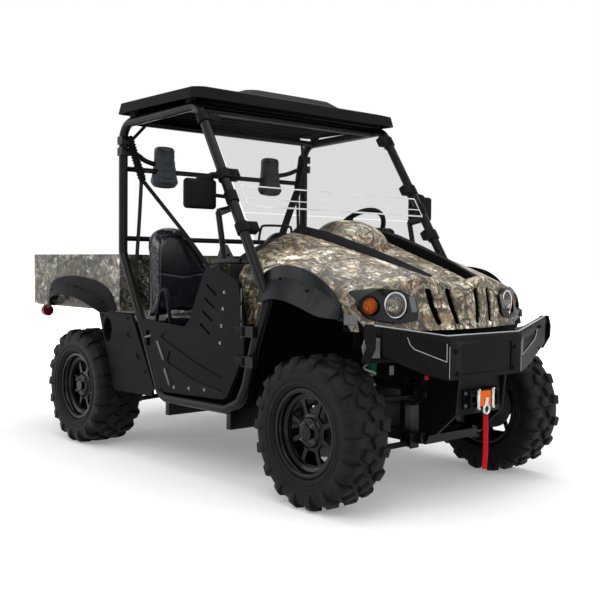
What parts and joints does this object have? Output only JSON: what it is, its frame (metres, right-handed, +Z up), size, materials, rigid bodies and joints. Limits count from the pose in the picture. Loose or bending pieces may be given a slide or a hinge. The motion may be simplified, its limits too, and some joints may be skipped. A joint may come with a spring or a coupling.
{
  "type": "side by side utility vehicle",
  "caption": "Two-seat side by side off-road vehicle with tube cage, roof, clear screen, doors, tipping bed, winch bumper and lugged tyres.",
  "frame": {"origin": "on the ground under the middle of the vehicle's length and width, where it stands as parked", "axes": "+X points forward, +Y to the driver's left, +Z up"},
  "size_m": [3.0895, 1.71, 1.955],
  "materials": {
    "tube_black": "satin",
    "cast_grey": "rough",
    "exhaust": "satin",
    "black_plastic": "matte",
    "clear_screen": "clear",
    "camouflage": "satin",
    "clear_lamp": "clear",
    "orange_lamp": "gloss",
    "red_lamp": "gloss",
    "seat_vinyl": "satin",
    "zinc": "satin",
    "red_webbing": "woven",
    "pale_coil": "satin",
    "wheel_black": "gloss",
    "tyre_black": "matte"
  },
  "bodies": {
    "chassis": {"frame": "tube_black", "towers": "tube_black", "engine": "cast_grey", "gear_cases": "cast_grey", "muffler": "exhaust", "sill_loops": "tube_black", "cage": "tube_black", "roof": "black_plastic", "windshield": "clear_screen", "screen_clamps": "black_plastic", "front_body": "camouflage", "hood_panel": "camouflage", "hood_strips": "black_plastic", "front_flares": "black_plastic", "inner_fenders": "black_plastic", "lamp_bezels": "black_plastic", "headlamps": "clear_lamp", "turn_lamps": "orange_lamp", "floor_pan": "black_plastic", "dash": "black_plastic", "seat_box": "black_plastic", "seat_cushions": "seat_vinyl", "seat_backs": "seat_vinyl", "headrests": "seat_vinyl", "side_panels": "black_plastic", "door_hinges": "tube_black", "bumper": "tube_black", "winch": "black_plastic", "fairlead": "zinc", "hook": "zinc", "hook_strap": "red_webbing", "skid_plate": "tube_black", "mirrors": "black_plastic", "front_arms": "tube_black", "rear_arms": "tube_black", "shocks": "pale_coil", "half_shafts": "cast_grey", "rear_carriers": "cast_grey"},
    "bed": {"bed": "camouflage", "rear_flares": "black_plastic", "tail_lamps": "red_lamp"},
    "gate": {"tailgate": "camouflage"},
    "left_door": {"door_l": "black_plastic"},
    "right_door": {"door_r": "black_plastic"},
    "steering": {"steering_wheel": "black_plastic"},
    "rack": {"tie_rods": "cast_grey"},
    "upright_fl": {"knuckle_fl": "cast_grey"},
    "upright_fr": {"knuckle_fr": "cast_grey"},
    "wheel_fl": {"tyre_fl": "tyre_black", "rim_fl": "wheel_black"},
    "wheel_fr": {"tyre_fr": "tyre_black", "rim_fr": "wheel_black"},
    "wheel_rl": {"tyre_rl": "tyre_black", "rim_rl": "wheel_black"},
    "wheel_rr": {"tyre_rr": "tyre_black", "rim_rr": "wheel_black"}
  },
  "joints": [
    {"name": "steer_fr", "type": "hinge", "parent": "chassis", "child": "upright_fr", "pos_m": [1.12, -0.53, 0.327], "axis": [0, 0, 1], "range_deg": [-30, 30]},
    {"name": "steer_fl", "type": "hinge", "parent": "chassis", "child": "upright_fl", "pos_m": [1.12, 0.53, 0.327], "axis": [0, 0, 1], "range_deg": [-30, 30]},
    {"name": "steering_wheel_turn", "type": "hinge", "parent": "chassis", "child": "steering", "pos_m": [0.365, 0.35, 1.203], "axis": [-0.766, 0, 0.6428], "range_deg": [-260, 260]},
    {"name": "rack_slide", "type": "slide", "parent": "chassis", "child": "rack", "axis": [0, 1, 0], "range_m": [-0.045, 0.045]},
    {"name": "spin_fl", "type": "hinge", "parent": "upright_fl", "child": "wheel_fl", "pos_m": [1.12, 0.604, 0.327], "axis": [0, 1, 0], "continuous": true},
    {"name": "spin_fr", "type": "hinge", "parent": "upright_fr", "child": "wheel_fr", "pos_m": [1.12, -0.604, 0.327], "axis": [0, 1, 0], "continuous": true},
    {"name": "spin_rl", "type": "hinge", "parent": "chassis", "child": "wheel_rl", "pos_m": [-0.81, 0.626, 0.327], "axis": [0, 1, 0], "continuous": true},
    {"name": "spin_rr", "type": "hinge", "parent": "chassis", "child": "wheel_rr", "pos_m": [-0.81, -0.626, 0.327], "axis": [0, 1, 0], "continuous": true},
    {"name": "left_door_hinge", "type": "hinge", "parent": "chassis", "child": "left_door", "pos_m": [0.74, 0.729, 0.667], "axis": [0, 0, -1], "range_deg": [0, 70]},
    {"name": "right_door_hinge", "type": "hinge", "parent": "chassis", "child": "right_door", "pos_m": [0.74, -0.729, 0.667], "axis": [0, 0, 1], "range_deg": [0, 70]},
    {"name": "bed_tilt", "type": "hinge", "parent": "chassis", "child": "bed", "pos_m": [-1.3, 0, 0.715], "axis": [0, -1, 0], "range_deg": [0, 45]},
    {"name": "tailgate_hinge", "type": "hinge", "parent": "bed", "child": "gate", "pos_m": [-1.511, 0, 0.764], "axis": [0, -1, 0], "range_deg": [0, 90]}
  ],
  "couplings": [
    {"joint": "steer_fl", "follows": "steer_fr", "ratio": 1},
    {"joint": "steering_wheel_turn", "follows": "steer_fr", "ratio": 8},
    {"joint": "rack_slide", "follows": "steer_fr", "m_per_rad": -0.08}
  ]
}
